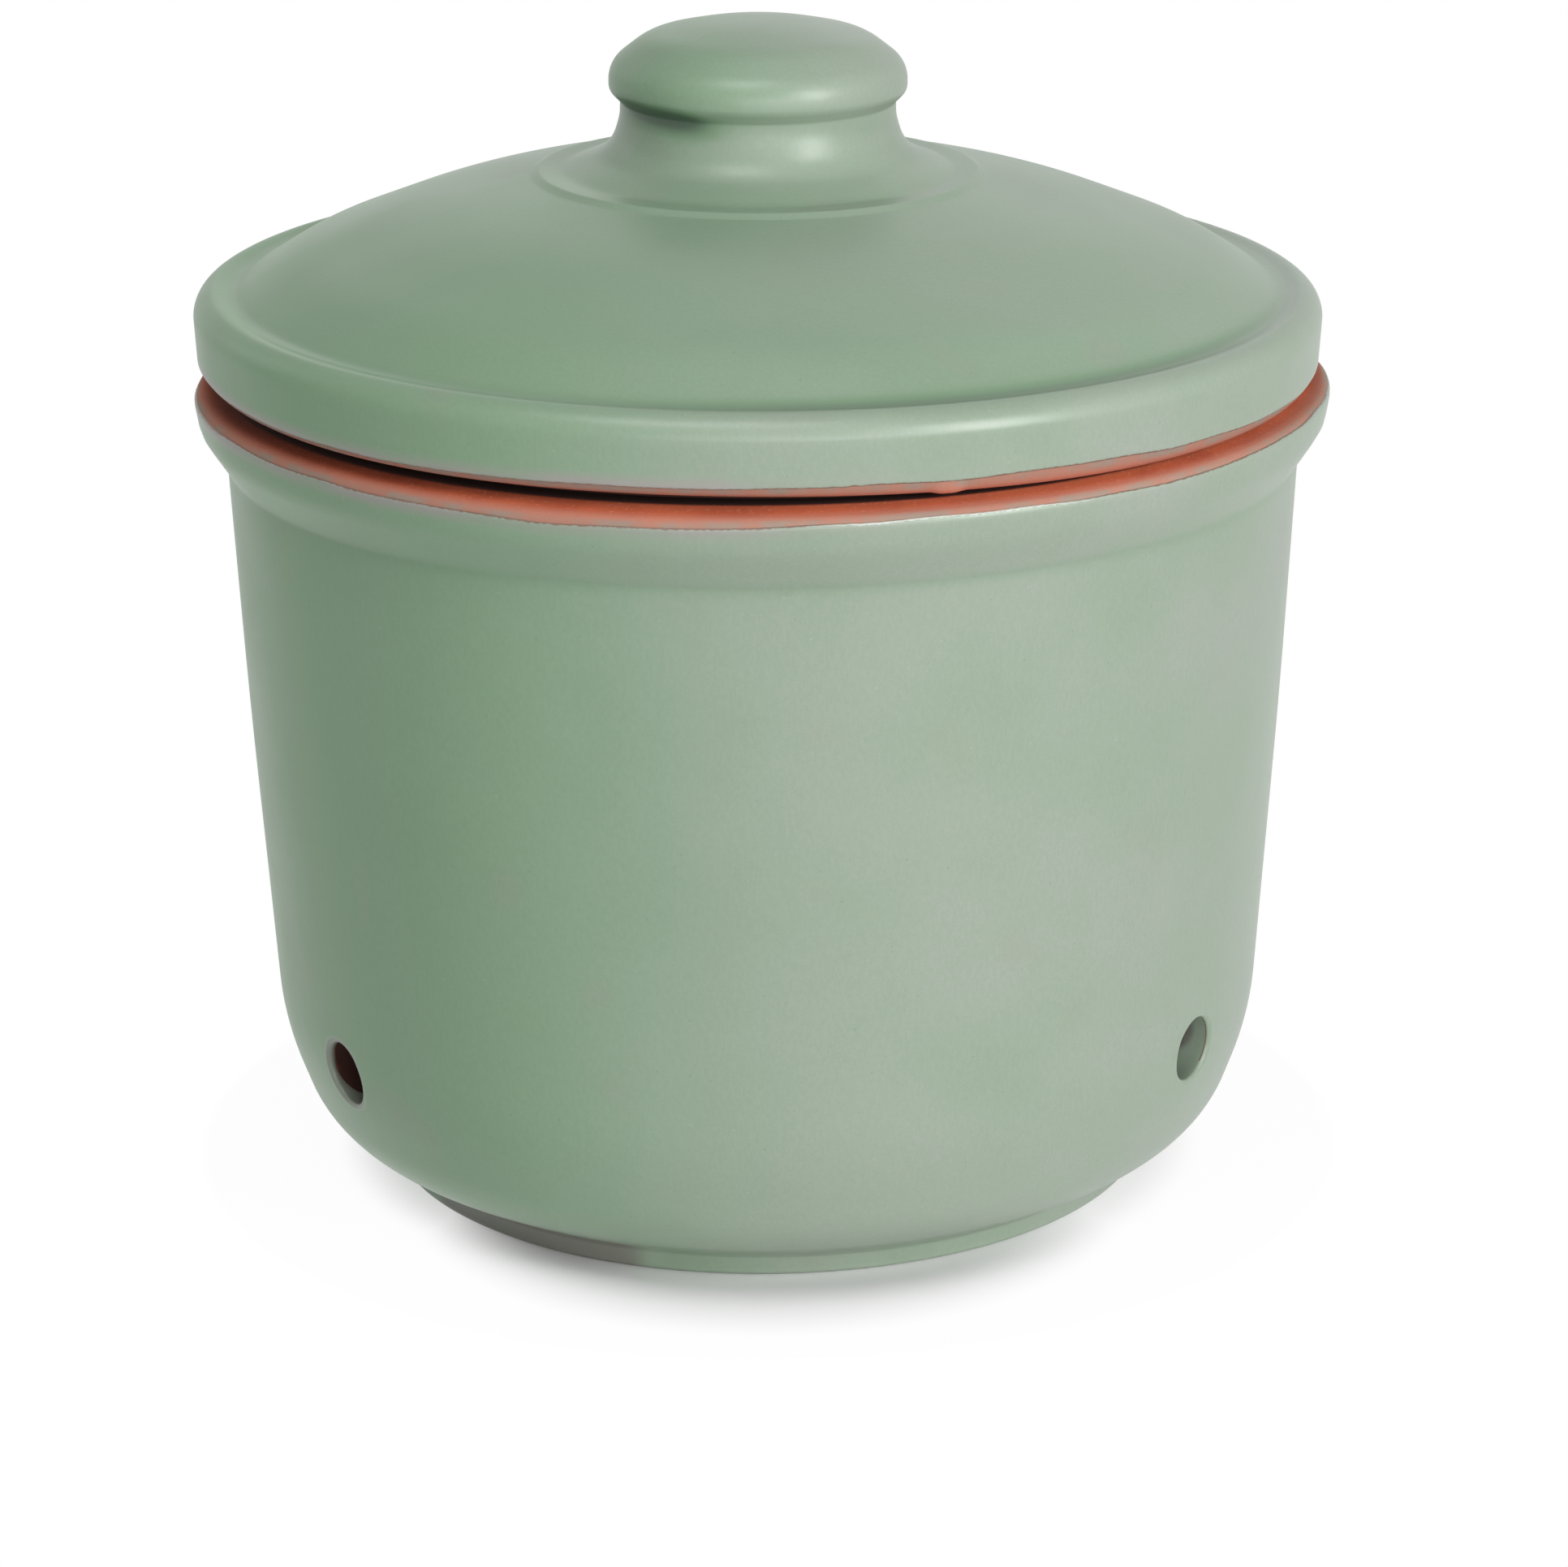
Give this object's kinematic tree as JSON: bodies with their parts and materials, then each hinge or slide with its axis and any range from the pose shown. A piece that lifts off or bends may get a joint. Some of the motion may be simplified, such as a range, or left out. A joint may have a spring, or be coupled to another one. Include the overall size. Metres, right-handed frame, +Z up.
{
  "type": "garlic keeper",
  "caption": "Round vented earthenware storage pot with a loose domed lid and a turned knob, sage green glaze over terracotta.",
  "frame": {"origin": "middle of the foot ring's resting face, on the ground", "axes": "+Z up along the turning axis, -Y to the front, between the two side vents, +X to the right"},
  "size_m": [0.1413, 0.1414, 0.1459],
  "materials": {
    "sage_glaze": "satin matt glaze",
    "bare_terracotta": "bare fired clay"
  },
  "bodies": {
    "pot": {"pot": "sage_glaze"},
    "lid": {"lid": "sage_glaze"}
  },
  "joints": [
    {"name": "lid_lift", "type": "slide", "parent": "pot", "child": "lid", "axis": [0, 0, 1], "range_m": [0, 0.12]}
  ]
}
